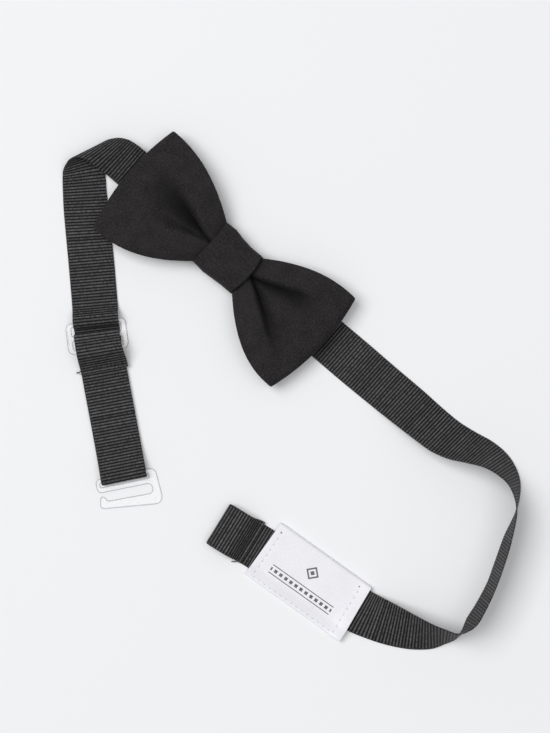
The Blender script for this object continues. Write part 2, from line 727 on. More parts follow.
def tail_place(b):
    """Where the strap's middle is at b from the slider's middle, and which way is across it. The
    strap turns gently from one heading to the next."""
    way = np.radians(RUN_WAY if b < 0 else TAIL_WAY)
    middle = SLIDER_CENTRE + b * np.array([np.cos(way), np.sin(way)])
    heading = RUN_WAY + (TAIL_WAY - RUN_WAY) * smooth_step((b + 14) / 28)
    heading = np.radians(heading + (HOOK_WAY - heading) * smooth_step((b - 40) / 20))
    return middle, np.array([-np.sin(heading), np.cos(heading)])


def tail_stations(profile):
    """Stations of a strap that follows (b, height) points."""
    stations = []
    for b, z in profile:
        middle, side = tail_place(b)
        stations.append([[*(middle + s * side * STRAP_WIDTH / 2), z] for s in (1, -1)])
    return stations


print("slider at", SLIDER_CENTRE, "hook bar at", np.round(tail_place(HOOK_BAR_AT)[0], 2))

# %% The straight run to the slider, which stretches as the slider moves
run_stations = [left_turn[-1], [[-54, -18.6, FLOOR], [-68, -32.3, FLOOR]]]
run_stations += tail_stations([(-32, FLOOR), (-24, FLOOR), (RUN_END, FLOOR)])


def stretch(name, stations, seed, node):
    """A strap piece whose two ends follow two bodies."""
    obj = strap_piece(name, stations, seed, (node,), held="laid")
    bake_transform(obj)


stretch("strap_to_slider", run_stations, 2,
        "strap_left_run")

# %% The strap over, under and over the slider's bars
weave_profile = [
    (RUN_END, FLOOR), (-12.4, 1.1), (-9.6, 3.5), (-7.9, OVER_BAR - 0.1), (-6.5, OVER_BAR + 0.05),
    (-5.3, OVER_BAR - 0.4), (-4.55, 3.2), (-4, 1.4), (-2.5, 0.45), (0, FLOOR), (2, 0.42),
    (3.2, 1.3), (3.85, 3.2), (4.7, OVER_BAR - 0.2), (6, OVER_BAR + 0.05), (7.6, OVER_BAR - 0.2),
    (9.6, 3.1), (12.4, 1), (WEAVE_END, FLOOR),
]
strap_piece("strap_in_slider", tail_stations(weave_profile), 3, ("strap_weave",), "adjuster",
            held="folded", rests_on=["slider"])

# %% The strap's sewn end on top
end_profile = [
    (WEAVE_END, FLOOR + LAYER), (12.4, 2.05), (10.1, 3.95), (8, SECOND_OVER - 0.1),
    (6, SECOND_OVER + 0.15), (4.2, SECOND_OVER - 0.15), (2.9, 4.9), (2.1, 3.7), (1.8, 2.7),
    (1.3, UNDER_BAR + 0.05), (0, UNDER_BAR - 0.15), (-1.3, UNDER_BAR + 0.05), (-1.75, 2.7),
    (-1.75, 3.8), (-1.2, 4.8), (0, 5.25), (1.6, 5.8), (3.4, SECOND_OVER + 0.9),
    (6, SECOND_OVER + 1.25), (8.4, SECOND_OVER + 0.85), (10.6, 4.95), (12.9, 3),
    (15.4, FLOOR + 2 * LAYER),
]
end_stations = tail_stations(end_profile)
stand_out(end_stations, 0, 6, 0.9)
strap_piece("strap_sewn_end", end_stations, 4, ("strap_end_flap",), "adjuster",
            held="folded", rests_on=["slider"])

# %% The two layers between slider and hook, and the fold round the hook's bar
stretch("strap_upper_layer", tail_stations([
    (WEAVE_END, FLOOR + LAYER), (19, FLOOR + LAYER), (30, FLOOR + LAYER), (42, FLOOR + LAYER),
    (50, 1.7), (FOLD_START, 2.7)]), 5, "strap_front_layer")
stretch("strap_lower_layer", tail_stations([
    (WEAVE_END, FLOOR), (28, FLOOR), (42, FLOOR), (FOLD_START, FLOOR)]),
    6, "strap_rear_layer")

fold_angles = np.radians(np.arange(90, -91, -30))
fold_profile = [(FOLD_START, 2.7), (59.6, 3.85)]
fold_profile += [(HOOK_BAR_AT + FOLD_RADIUS * np.cos(t), HOOK_BAR_Z + FOLD_RADIUS * np.sin(t))
                 for t in fold_angles]
fold_profile += [(59.6, FLOOR), (FOLD_START, FLOOR)]
strap_piece("strap_round_hook", tail_stations(fold_profile), 7, ("strap_hook_fold",), "tail",
            held="folded", rests_on=["hook"])

# %% [markdown]
# ## The bow's wings
#
# Each wing is a loop of doubled cloth: a front that crowns, a fold at the outer end, and a back.
# Seen from above, its upper and lower edges open from the knot along parabolas. Its pleats are
# valleys that start deep and narrow at the knot and die out towards the end. Each has a steep side,
# where the cloth is folded over, and a gentle side.

# %% Measures of the wings
KNOT_LEFT, KNOT_RIGHT = -10.2, 12
CLOTH_HALF = 0.8
LOOP_RADIUS = 2.4
END_BULGE = 3.6
DEEPEST = 5.4
WING_HALF_HEIGHT = 27.5
INSIDE_KNOT = -0.06
FRONT_ROWS, BACK_ROWS, WING_COLUMNS = 96, 44, 141
CLOTH_EDGE = 0.03
wings = {
    "left": dict(
        side=-1, seed=11, root=-KNOT_LEFT + 0.6,
        upper=(53.5, 25.2, 14.2), lower=(51.5, -29.5, 17.9),
        pleats=[
            # (x from the middle, y) points, depths at them, widths on the steep and gentle sides
            dict(line=[(8, 0.3), (11, 0.5), (15, 1.4), (19, 2.6), (28, 4.2), (40, 5), (48, 5)],
                 depth=[5, 5.2, 5.4, 5.4, 4.9, 2.6, 0], steep=[0.7, 0.7, 0.8, 1.1, 2.2, 5, 7],
                 gentle=[1, 1.4, 2.8, 4.4, 7, 9, 11], up=1),
            dict(line=[(8, -0.4), (11, -0.7), (15, -1.8), (19, -2.8), (28, -5), (36, -6), (44, -6)],
                 depth=[3, 3.6, 3.6, 3.2, 2.2, 1, 0], steep=[0.7, 0.7, 0.9, 1.3, 2.4, 4, 6],
                 gentle=[1, 1, 1.6, 2.4, 4, 6, 8], up=-1),
        ]),
    "right": dict(
        side=1, seed=12, root=KNOT_RIGHT + 0.6,
        upper=(52.8, 23.8, 13.8), lower=(51, -29.6, 19),
        pleats=[
            dict(line=[(9, 0.6), (12.5, 0.9), (16, 2.1), (20, 3.6), (27, 6.4), (33, 8.4), (40, 9.4),
                       (47, 9.6)],
                 depth=[5, 5.2, 5.4, 5.3, 5, 4.2, 1.8, 0],
                 steep=[0.5, 0.5, 0.6, 0.8, 1.1, 1.6, 3, 4],
                 gentle=[1.2, 1.8, 3.2, 3.8, 4.4, 5, 6, 8], up=1),
            dict(line=[(9, 0), (12.5, -0.2), (16, -1.8), (20, -3.8), (27, -7.8), (33, -11),
                       (40, -13.6), (47, -15)],
                 depth=[5, 5.2, 5.4, 5.2, 4.6, 3.6, 1.8, 0],
                 steep=[0.5, 0.5, 0.6, 0.8, 1.1, 1.6, 3, 4],
                 gentle=[1.2, 1.8, 3.2, 3.8, 4.4, 5, 6, 8], up=-1),
        ]),
}


def wing_plan(wing, along, across, pull):
    """Plan position. along runs from the knot, 0, to the outer fold, 1, and across from the lower
    edge, -1, to the upper, 1. An edge's height is its corner's, less its rise times the square of
    the part of the way that is left; the outer fold bows out by END_BULGE; pull draws it in."""
    ends = []
    for corner, y, rise in (wing["lower"], wing["upper"]):
        x = wing["root"] + (corner - wing["root"]) * along
        ends.append((x, y - np.sign(y) * rise * (1 - along) ** 2))
    t = (across + 1) / 2
    (x0, y0), (x1, y1) = ends
    bulge = END_BULGE * (1 - across**2) * np.clip(along, 0, 1) ** 2
    return x0 + (x1 - x0) * t + bulge - pull, y0 + (y1 - y0) * t


def pleat_depth(wing, x, y):
    """How deep the pleats are at a plan position: each is a bell curve across its line, narrow on
    its steep side and wide on its gentle side."""
    total = np.zeros(np.broadcast(x, y).shape)
    for pleat in wing["pleats"]:
        line = np.array(pleat["line"], float)
        at = lambda values: np.interp(x, line[:, 0], values)
        off = (y - at(line[:, 1])) * pleat["up"]
        width = np.where(off > 0, at(pleat["steep"]), at(pleat["gentle"]))
        total = np.maximum(total, at(pleat["depth"]) * np.exp(-(off / width) ** 2))
    return total


# %% The wing's front, fold and back as one surface
def front_height(along, across):
    """Level at the outer end, higher in the middle, and lower towards both edges at the knot."""
    return (10.2 - 0.5 * along + 2.4 * np.sin(np.pi * along)
            - 3 * (1 - along) * across**2)


def back_height(along, across):
    """Rises towards the outer end, sags in the middle, and is higher at the knot's edges."""
    return (3.1 + 1.8 * along - 0.6 * np.sin(np.pi * along)
            + 1.2 * (1 - along) * across**2)


def wing_front(wing, along, across):
    """Points of the front's middle surface, with pleats and the cloth's own unevenness, and how
    deep the pleats are there."""
    x, y = wing_plan(wing, along, across, LOOP_RADIUS * np.clip(along, 0, 1))
    depth = pleat_depth(wing, x, y)
    fade = smooth_step(along * 3) * smooth_step((1 - along) * 3)
    z = front_height(along, across) - depth + 0.22 * unevenness(x, y, 15, wing["seed"]) * fade
    return grid_of(wing["side"] * x, y, z), depth


def wing_cloth(name, wing):
    """The loop's middle surface: the front outwards, half a circle at the end, the back inwards.
    The columns lie closer together near the cloth's edges, where it rounds off."""
    front = np.linspace(INSIDE_KNOT, 1, FRONT_ROWS)[:, None]
    turn = np.linspace(0, np.pi, 17)[1:-1, None]
    back = np.linspace(1, INSIDE_KNOT, BACK_ROWS)[:, None]
    even_columns = np.linspace(-1, 1, WING_COLUMNS)[None, :]
    across = np.sin(np.pi / 2 * even_columns * 0.985) * 0.4 + even_columns * 0.6
    across /= across.max()
    front_surface, depth = wing_front(wing, front, across)
    top, bottom = front_height(1, 0), back_height(1, 0)
    z = (top + bottom) / 2 + (top - bottom) / 2 * np.cos(turn)
    x, y = wing_plan(wing, 1, across, LOOP_RADIUS * (1 - np.sin(turn)))
    turn_surface = grid_of(wing["side"] * x, y, z)
    x, y = wing_plan(wing, back, across, LOOP_RADIUS * np.clip(back, 0, 1))
    back_surface = grid_of(wing["side"] * x, y, back_height(back, across))
    surface = np.concatenate([front_surface, turn_surface, back_surface])
    rim = np.sqrt(1 - np.clip((np.abs(across) - 1 + CLOTH_EDGE) / CLOTH_EDGE, 0, 0.97) ** 2)
    half = np.broadcast_to(CLOTH_HALF * rim, surface.shape[:2])
    run = travelled(surface[:, surface.shape[1] // 2])
    uv = grid_of(run[:, None], across * WING_HALF_HEIGHT)
    deep = np.zeros(surface.shape[:2])
    deep[:len(front)] = depth / DEEPEST
    return cloth_piece(name, surface, half, uv, deep), run.max()


for side, wing in wings.items():
    piece, loop_length = wing_cloth(f"{side}_wing", wing)
    dress(piece, bow_cloth, "root", (f"{side}_wing_front", f"{side}_wing_back"))
    print(f"{side} wing: {loop_length:.1f} mm of cloth round the loop")

# %% [markdown]
# A strip of stiff interlining inside each wing holds the loop open. It follows the front from
# below, a little smaller all round.

# %% Wing interlinings
LINING_HALF = 0.25
LINING_DROP = CLOTH_HALF + 0.4 + LINING_HALF

for side, wing in wings.items():
    along = np.linspace(0.03, 0.86, 50)[:, None]
    across = np.linspace(-0.93, 0.93, 71)[None, :]
    surface, _ = wing_front(wing, along, across)
    surface[..., 2] -= LINING_DROP
    half = np.full(surface.shape[:2], LINING_HALF)
    piece = cloth_piece(f"{side}_wing_lining", surface, half, surface[..., :2])
    dress(piece, lining_cloth, "root", (f"{side}_wing_interlining",))

# %% [markdown]
# ## The knot band
#
# The knot is a strip wrapped round the bow's middle, so its section is a closed ring: flat at the
# back, round in front. The strip itself is a closed ring too, outside, round its pressed edge,
# inside and round the other edge. A ring carried along a ring is a mesh without any open end.

# %% Outline of the band
KNOT_HALF_WIDTH, KNOT_HEIGHT, KNOT_FOOT = 11.2, 13.4, 10.5
BAND_WALL = 0.9


def bezier(p0, p1, p2, p3, count=60):
    """A cubic curve from p0 to p3 that p1 and p2 pull on."""
    t = np.linspace(0, 1, count, endpoint=False)[:, None]
    p0, p1, p2, p3 = map(np.array, (p0, p1, p2, p3))
    return (1 - t) ** 3 * p0 + 3 * t * (1 - t) ** 2 * p1 + 3 * t**2 * (1 - t) * p2 + t**3 * p3


def knot_outline(count):
    """Evenly spaced (y, z) points round the knot, from the middle of its back, with the way out."""
    half, top, foot = KNOT_HALF_WIDTH, KNOT_HEIGHT, KNOT_FOOT
    middle = top / 2 - 0.6
    line = np.linspace([0.0, 0.0], [foot, 0.0], 40, endpoint=False)
    side = bezier((foot, 0.0), (half, 0.0), (half, 1.0), (half, middle))
    crown = bezier((half, middle), (half, top - 1.6), (half - 3.4, top), (0.0, top))
    right = np.vstack([line, side, crown])
    left = (np.vstack([right[1:], [[0.0, top]]]) * [-1, 1])[::-1]
    ring = np.vstack([right, left, right[:1]])
    run = travelled(ring)
    at = np.linspace(0, run[-1], count, endpoint=False)
    ring = even(ring, at, run)
    return ring, ring_outwards(ring), at


outline, outwards, outline_run = knot_outline(220)
print("round the knot:", round(outline_run[-1], 1), "mm")

# %% The band as a ring carried along a ring
KNOT_WIDTH = KNOT_RIGHT - KNOT_LEFT
PRESSED_EDGE, PRESSED_BY = 0.9, 0.42
SEAM_AT, SEAM_WIDTH, SEAM_DEPTH, SEAM_MIDDLE = 5.4, 0.65, 0.5, 0.9


def band_edges(y, z):
    """Where the band's left and right edges are. In front both bow a little towards the right."""
    front = smooth_step((z - 3) / 6)
    left = KNOT_LEFT + front * 0.7 * (1 - (y / 11) ** 2)
    right = KNOT_RIGHT + front * (0.8 - 1.4 * (y / 10.5) ** 2)
    return left, right


def band_swell(x, y):
    """How the band's width changes along it: fuller at the left, drawn in at the right."""
    upper = np.interp(x, [-10, -8, -5, 0, 5, 10, 12], [11.2, 11.3, 11.5, 10.5, 10.1, 10.3, 10.3])
    lower = np.interp(x, [-10, -8, -4, 0, 5, 11, 12], [11.5, 11.6, 11.9, 11.5, 11, 10.8, 10.8])
    return np.where(y > 0, upper, lower) / KNOT_HALF_WIDTH


def knot_band():
    """The profile goes along the outside at depth 0, falls off as a quarter ellipse at the pressed
    edges, and comes back along the inside at the wall's depth."""
    along = np.linspace(0, 1, 60)
    edge = np.minimum(along, 1 - along) * KNOT_WIDTH / PRESSED_EDGE
    fall = PRESSED_BY * (1 - np.sqrt(1 - np.clip(1 - edge, 0, 1) ** 2))
    share = np.concatenate([along, along[::-6]])
    depth = np.concatenate([fall, np.full(len(along[::-6]), BAND_WALL)])
    y, z = outline[:, :1], outline[:, 1:]
    left, right = band_edges(y, z)
    x = left + (right - left) * share[None, :]
    swell = band_swell(x, y)
    front = smooth_step((z - 5) / 5)
    outside = (depth < BAND_WALL)[None, :]
    relief = 0.16 * unevenness(x, outline_run[:, None], 7, 21) * front
    relief = relief - 0.10 * np.exp(-((x + 4 - 0.12 * y) / 1.8) ** 2) * front
    relief = relief - 0.12 * np.exp(-((x - 5.5 + 0.1 * y) / 1.5) ** 2) * front
    groove = (z < 0.5) * SEAM_DEPTH * smooth_step((SEAM_WIDTH - np.abs(y - SEAM_AT)) / 0.3 + 0.5)
    groove = groove * (np.abs(x - SEAM_MIDDLE) < 9.6)
    d = depth[None, :] - outside * (relief - groove)
    ring = grid_of(x, (y - outwards[:, :1] * d) * swell, z - outwards[:, 1:] * d)
    return ring, grid_of(x, outline_run[:, None]).reshape(-1, 2)


ring, uv = knot_band()
faces = grid_faces(*ring.shape[:2], ring_rows=True, ring_columns=True)
band = new_piece("knot", ring.reshape(-1, 3), faces, uv)
dress(band, bow_cloth, "root", ("knot_band",))

# %% [markdown]
# Under the band, the bow's middle is gathered and wound with thread. Little of it is seen, but it
# is there: a rounded bar whose surface runs in gathers, drawn in where the thread holds it.

# %% The gathered middle
WAIST_AT, WAIST_HEIGHT = 0.9, 6.8
WAIST_HALF, WAIST_TALL = 8.9, 4.4
WINDING_IN = 0.55


def squarer(value):
    """A sine or cosine raised to the power 0.8 with its sign kept: a circle becomes squarer."""
    return np.sign(value) * np.abs(value) ** 0.8


def gathered_middle():
    """A squarish section carried along the bow, drawn in by a bell curve where the thread winds
    round it. The gathers are waves round it, and each end runs to a point."""
    x = np.concatenate([[-7.2], np.linspace(-7.2, 9.2, 40), [9.2]])[:, None]
    angle = np.linspace(0, 2 * np.pi, 144, endpoint=False)[None, :]
    cinch = 0.9 * np.exp(-(((x - WAIST_AT) / 2.6) ** 2))
    gathers = 0.3 * np.abs(np.sin(angle * 9)) * np.ones_like(x)
    closed = np.ones_like(x)
    closed[[0, -1]] = 0
    y = (WAIST_HALF - cinch - gathers) * closed * squarer(np.cos(angle))
    z = WAIST_HEIGHT + (WAIST_TALL - cinch - gathers) * closed * squarer(np.sin(angle))
    return grid_of(x, y, z)


surface = gathered_middle()
faces = grid_faces(*surface.shape[:2], ring_columns=True)
uv = np.indices(surface.shape[:2]).reshape(2, -1).T * [0.42, 0.35]
waist = new_piece("gathered_waist", surface.reshape(-1, 3), faces, uv)
join_doubles(waist)
dress(waist, bow_cloth, "root", ("bow_waist",))

# %% [markdown]
# ## Threads
#
# A sewing thread is a thin tube along a path. Two strands twisted together give it an outline that
# swells twice on its way round, and that outline turns as it goes along.

# %% A twisted thread along a path
TWIST_PITCH, TUBE_STEP, TUBE_SIDES = 1.1, 0.12, 10


def twisted_tube(path, radius, never):
    """Points of a tube round a path. Its radius is a circle's times 1 plus 0.18 times the cosine of
    twice the angle past the twist, and its ends run to a point. The path never runs along
    `never`."""
    run = travelled(path)
    at = np.linspace(0, run[-1], max(int(run[-1] / TUBE_STEP), 8))
    centre = even(path, at, run)
    ahead = np.gradient(centre, axis=0)
    ahead /= np.linalg.norm(ahead, axis=1, keepdims=True)
    side = np.cross(never, ahead)
    side /= np.linalg.norm(side, axis=1, keepdims=True)
    up = np.cross(ahead, side)
    angle = np.linspace(0, 2 * np.pi, TUBE_SIDES, endpoint=False)[None, :]
    swell = radius * (1 + 0.18 * np.cos(2 * (angle - 2 * np.pi * at[:, None] / TWIST_PITCH)))
    swell[[0, -1]] = 0
    return (centre[:, None] + (swell * np.cos(angle))[..., None] * side[:, None]
            + (swell * np.sin(angle))[..., None] * up[:, None])


def sewing(name, paths, radius, body, node, colour="black", never=(0, 0, 1.0)):
    """One piece of sewing made of several lengths of black or white thread."""
    points, faces, first = [], [], 0
    for path in paths:
        tube = twisted_tube(np.asarray(path, float), radius, never)
        rows, columns = tube.shape[:2]
        part = grid_faces(rows, columns, ring_columns=True)
        faces.append(facing_out(tube.reshape(-1, 3), part) + first)
        points.append(tube.reshape(-1, 3))
        first += rows * columns
    obj = new_piece(name, np.concatenate(points), np.concatenate(faces))
    join_doubles(obj)
    dress(obj, thread[colour], body, (node,))


# %% Winding round the waist and stitches of the knot's seam
TURNS, WINDING_WIDTH = 2.5, 1.8
turn = np.linspace(0, TURNS, 120)
angle = 2 * np.pi * turn
winding = np.stack([
    WAIST_AT + WINDING_WIDTH * (turn / TURNS - 0.5),
    (WAIST_HALF - WINDING_IN) * squarer(np.cos(angle)),
    WAIST_HEIGHT + (WAIST_TALL - WINDING_IN) * squarer(np.sin(angle))], -1)
sewing("waist_winding", [winding], 0.22, "root", "waist_thread", never=(1.0, 0, 0))

k = np.arange(15)
zigzag = np.stack([SEAM_MIDDLE + 8.9 * (k / 7 - 1), SEAM_AT + np.where(k % 2, 0.3, -0.3),
                   np.where(k % 2, 0.2, 0.27)], -1)
sewing("knot_seam", [through(zigzag, 12)], 0.14, "root", "knot_seam_thread")

# %% Stitches that hold the strap's end at the slider, and the thread's loose end
FLAP_SEAM = 13.7
STITCH_RADIUS = 0.2


def stitch_row(place, start, end, count, above, below, wander, seed):
    """A running stitch from start to end across a strap. The thread's height swings between above
    and below, twice a stitch, and it wanders a little, as a hand-guided seam does."""
    rng = np.random.default_rng(seed)
    across = np.linspace(start, end, 2 * count + 1)
    off = rng.uniform(-wander, wander, len(across))
    height = np.where(np.arange(len(across)) % 2, above, below)
    return np.array([place(o, a, z) for o, a, z in zip(off, across, height)])


def flap_place(off, across, z):
    """A point at the end's seam: off along the strap from it, across the strap, and z up."""
    middle, side = tail_place(FLAP_SEAM + off)
    return [*(middle + side * across), z]


row = stitch_row(flap_place, 9.4, -9.6, 12, 3.24, 2.75, 0.28, 31)
loose = [flap_place(0.2, -10.3, 2.7), flap_place(0.7, -10.9, 1.9), flap_place(0.3, -11.6, 1.2),
         flap_place(0.9, -12.1, 0.7)]
second = stitch_row(flap_place, -9.2, 8.6, 11, 3.22, 2.75, 0.25, 32) + [0.25, -0.2, 0]
sewing("end_stitches", [through(np.vstack([row, loose]), 10), through(second, 10)],
       STITCH_RADIUS, "adjuster", "flap_stitches")

# %% Stitches of the eye
def eye_seam(b):
    """Gives the points of a seam that runs across the eye at b from its fold."""
    def place(off, a, z):
        """The point off along the strap from the seam, a across it, and z up."""
        x, y = EYE_FOLD + (b + off) * eye_along + a * eye_side
        return [x, y, z]
    return place


row = stitch_row(eye_seam(16.1), 9.4, -9.4, 12, 1.88, 1.45, 0.25, 33)
second = stitch_row(eye_seam(15.7), 9.0, -9.2, 11, 1.95, 1.5, 0.2, 34)
on_flap = eye_seam(0)
loose = [on_flap(15.4, -10.4, 1.2), on_flap(14.6, -11.0, 0.8), on_flap(13.9, -11.6, 0.5)]
sewing("eye_stitches_sewn", [through(np.vstack([row, loose]), 10), through(second, 10)],
       STITCH_RADIUS, "root", "eye_stitches")

# %% [markdown]
# ## Slider and hook
#
# Both are moulded in clear plastic: a flat plate with holes and well-rounded rims. An outline is
# traced with straight legs and corner curves and spaced evenly. Its rim is the outline drawn
# inwards as a quarter circle at the bottom and again at the top. Triangles fill the flat faces.

# %% Outlines and moulded plates
PLASTIC_THICKNESS = 1.8
RIM_ROUND = 0.78
OUTLINE_STEP = 0.28


def trace(start, *legs):
    """A closed outline. Each leg is (end,) for a straight line or (pull, end) for a curve. The
    points are evenly spaced, and averaged with their neighbours so that no corner is sharp."""
    points = [np.array([start], float)]
    for leg in legs:
        here, end = points[-1][-1], np.array(leg[-1], float)
        pull = (here + end) / 2 if len(leg) == 1 else np.array(leg[0], float)
        t = np.linspace(0, 1, 31)[1:, None]
        points.append((1 - t) ** 2 * here + 2 * t * (1 - t) * pull + t**2 * end)
    ring = np.concatenate(points)
    ring = np.vstack([ring, ring[:1]])
    run = travelled(ring)
    ring = even(ring, np.linspace(0, run[-1], int(run[-1] / OUTLINE_STEP), endpoint=False), run)
    for _ in range(2):
        ring = (np.roll(ring, 1, axis=0) + 2 * ring + np.roll(ring, -1, axis=0)) / 4
    return ring


def rounded_slot(x0, x1, y0, y1, r):
    """A rectangle with rounded corners."""
    return trace((x0 + r, y0), ((x1 - r, y0),), ((x1, y0), (x1, y0 + r)), ((x1, y1 - r),),
                 ((x1, y1), (x1 - r, y1)), ((x0 + r, y1),), ((x0, y1), (x0, y1 - r)),
                 ((x0, y0 + r),), ((x0, y0), (x0 + r, y0)))


def area_of(ring):
    """Signed area: half the sum of each point's x times the next one's y, less the reverse."""
    x, y = ring.T
    return np.sum(x * np.roll(y, -1) - y * np.roll(x, -1)) / 2


def moulded_plate(outer, holes):
    """Points and faces of a plate on z = 0. Outlines run with the plastic on their left."""
    rings = [outer if area_of(outer) > 0 else outer[::-1]]
    rings += [hole if area_of(hole) < 0 else hole[::-1] for hole in holes]
    bend = np.linspace(0, np.pi / 2, 7)
    inset = np.concatenate([1 - np.sin(bend), (1 - np.sin(bend))[::-1]]) * RIM_ROUND
    lift = (1 - np.cos(bend)) * RIM_ROUND
    height = np.concatenate([lift, PLASTIC_THICKNESS - lift[::-1]])
    points, faces, first, caps = [], [], 0, [[], []]
    for ring in rings:
        rim = ring[None] - ring_outwards(ring)[None] * inset[:, None, None]
        rim = np.dstack([rim, np.broadcast_to(height[:, None], rim.shape[:2])])
        faces.append(grid_faces(*rim.shape[:2], first=first, ring_columns=True)[:, ::-1])
        caps[0].append((first + np.arange(len(ring)), rim[0]))
        first += rim.shape[0] * rim.shape[1]
        caps[1].append((first - len(ring) + np.arange(len(ring)), rim[-1]))
        points.append(rim.reshape(-1, 3))
    flat = 0
    for cap, turned in zip(caps, (True, False)):
        number = np.concatenate([n for n, _ in cap])
        corners = np.array(tessellate_polygon([p.tolist() for _, p in cap]))
        u, v, w = (np.concatenate([p for _, p in cap])[corners[:, k]] for k in range(3))
        up = np.cross(v - u, w - u)[:, 2] > 0
        corners[up == turned] = corners[up == turned][:, ::-1]
        faces.append(number[np.column_stack([corners, corners[:, 2]])])
        flat += len(corners)
    return np.concatenate(points), np.concatenate(faces), flat


SLOT_HALF = 10.9

slider_plan = moulded_plate(
    rounded_slot(-7, 7, -13.4, 13.4, 3.2),
    [rounded_slot(x, x + 4, -SLOT_HALF, SLOT_HALF, 0.9) for x in (-5, 1)])
hook_outer = trace(
    (-3.5, -9.7), ((-3.5, 11.4),), ((-3.5, 14.4), (-0.5, 14.5)), ((8.4, 15),),
    ((12.9, 15), (12.6, 11)), ((10.2, -10.9),), ((9.9, -12.8), (8, -12.8)), ((5.4, -12.1),),
    ((4.2, -11.6), (4.7, -10.5)), ((5.3, -9.4), (6.9, -9)), ((7.3, 9.4),),
    ((7.2, 11.2), (5.2, 11.2)), ((3.2, 11.2), (3.1, 9.4)), ((3, -10.4),),
    ((3, -12.7), (0.6, -12.7)), ((-1, -12.7),), ((-3.5, -12.7), (-3.5, -9.7)))
hook_plan = moulded_plate(hook_outer, [rounded_slot(-1.3, 0.6, -SLOT_HALF, SLOT_HALF, 0.6)])
print("points of slider and hook:", len(slider_plan[0]), len(hook_plan[0]))

# %% Put the slider and the hook in their places
def turned(points, heading, lean=0.0):
    """Points leaned about Y and then turned about Z, both in degrees."""
    h, l = np.radians([heading, lean])
    about_y = np.array([[np.cos(l), 0, np.sin(l)], [0, 1, 0], [-np.sin(l), 0, np.cos(l)]])
    about_z = np.array([[np.cos(h), -np.sin(h), 0], [np.sin(h), np.cos(h), 0], [0, 0, 1]])
    return points @ (about_z @ about_y).T


SLIDER_WAY, SLIDER_HEIGHT = -41, 2.3
HOOK_LEAN = 4.4

points, faces, flat = slider_plan
points = turned(points, SLIDER_WAY) + [*SLIDER_CENTRE, SLIDER_HEIGHT]
slider = new_piece("clear_slider", points, faces, None, flat)
dress(slider, clear_plastic, "adjuster", ("slider",))

points, faces, flat = hook_plan
from_bar = [FOLD_RADIUS + STRAP_THICKNESS / 2, 0, -PLASTIC_THICKNESS / 2]
points = turned(points + from_bar, HOOK_WAY, HOOK_LEAN)
points = points + [*tail_place(HOOK_BAR_AT)[0], HOOK_BAR_Z]
hook = new_piece("clear_hook", points, faces, None, flat)
dress(hook, clear_plastic, "hook", ("hook",))

# %% [markdown]
# ## The label
#
# The label is a piece of white satin tape folded over the strap's upper edge and sewn on three
# sides. Its front lies over the strap and drops beside it, where the two sides are sewn together.
# Its right end isn't held down, so it curls up a little. Every stitch pulls a small dimple.

# %% Shape of the label
LABEL_CENTRE = np.array([121.4, -81.9])
LABEL_WAY = 6.4
LABEL_HALF = 13.75
LABEL_THICKNESS = 0.35
LABEL_BACK, LABEL_FRONT = 0.2, 2.0
LABEL_FOLD = 0.9
LABEL_LEFT, LABEL_WIDTH = -25.0, 49.9
SLANT = 1.2
DIMPLE_WIDTH, DIMPLE_DEPTH = 0.45, 0.12


def label_front(x, y):
    """Height of the front: up over the strap, down beside it, and curling up at the right."""
    drop = 1 - smooth_step((y + 13.4) / 5.8)
    curl = 1.5 * smooth_step((x - 14) / 11) ** 2 * smooth_step((5 - y) / 14)
    lift = 0.5 * smooth_step((x - 17) / 8) * smooth_step((y + 3) / 9)
    waves = 0.09 * unevenness(x, y, 13, 41)
    return LABEL_FRONT - 1.15 * drop + curl + lift + waves


def stitch_points():
    """Where the needle went in and out: down the left side, along the open edge, up the right."""
    corners = np.array([[-22.2, 10.9], [-21.9, -12.5], [21.2, -12.4], [19.6, 10.8]])
    legs = [np.linspace(a, b, n, endpoint=False) for a, b, n in
            zip(corners[:-1], corners[1:], (16, 30, 16))]
    return np.vstack(legs + [corners[-1:]])


needle = stitch_points()


def dimples(x, y):
    """How far the needle holes pull the label in: a small bell at each, the deepest of all."""
    depth = np.zeros(np.broadcast(x, y).shape)
    for px, py in needle:
        far = (x - px) ** 2 + (y - py) ** 2
        depth = np.maximum(depth, np.exp(-far / DIMPLE_WIDTH**2))
    return DIMPLE_DEPTH * depth


# %% The folded sheet
def label_sheet():
    """From the open edge up over the front, round the fold and down the back. v runs along that
    way, and x across it; the right end is cut a little slanting."""
    fold_at = LABEL_HALF - LABEL_FOLD
    y_front = np.linspace(-LABEL_HALF, fold_at, 108)
    bend = np.linspace(0, np.pi, 13)[1:-1]
    y_back = np.linspace(fold_at, -LABEL_HALF, 40)
    y = np.concatenate([y_front, fold_at + LABEL_FOLD * np.sin(bend), y_back])[:, None]
    back_share = np.concatenate([0 * y_front, (1 - np.cos(bend)) / 2, 0 * y_back + 1])[:, None]
    t = np.linspace(0, 1, 190)[None, :]
    x = LABEL_LEFT + (LABEL_WIDTH - SLANT * y / LABEL_HALF) * t
    front = label_front(x, y) - dimples(x, y) * (back_share == 0)
    back = LABEL_BACK + 0.55 * (label_front(x, y) - LABEL_FRONT).clip(0)
    z = front * (1 - back_share) + back * back_share
    surface = grid_of(x, y, z)
    run = travelled(surface[:, surface.shape[1] // 2])[:, None] - LABEL_HALF
    return surface, grid_of(x, run), run.max() + LABEL_HALF


def on_table(points):
    """Label coordinates to the tie's."""
    return turned(points, LABEL_WAY) + [*LABEL_CENTRE, 0]


surface, uv, label_run = label_sheet()
half = np.full(surface.shape[:2], LABEL_THICKNESS / 2)
label = cloth_piece("folded_label", on_table(surface), half, uv)
print(f"label: {label_run:.1f} mm of tape")

# %% [markdown]
# The label's print is a plain ornament: a lozenge, under it a row of dashes between two thin rules,
# and a small mark at each upper corner. It is drawn by comparing the cloth's own coordinates with
# the sizes of the figures, which gives a crisp mask at any distance.

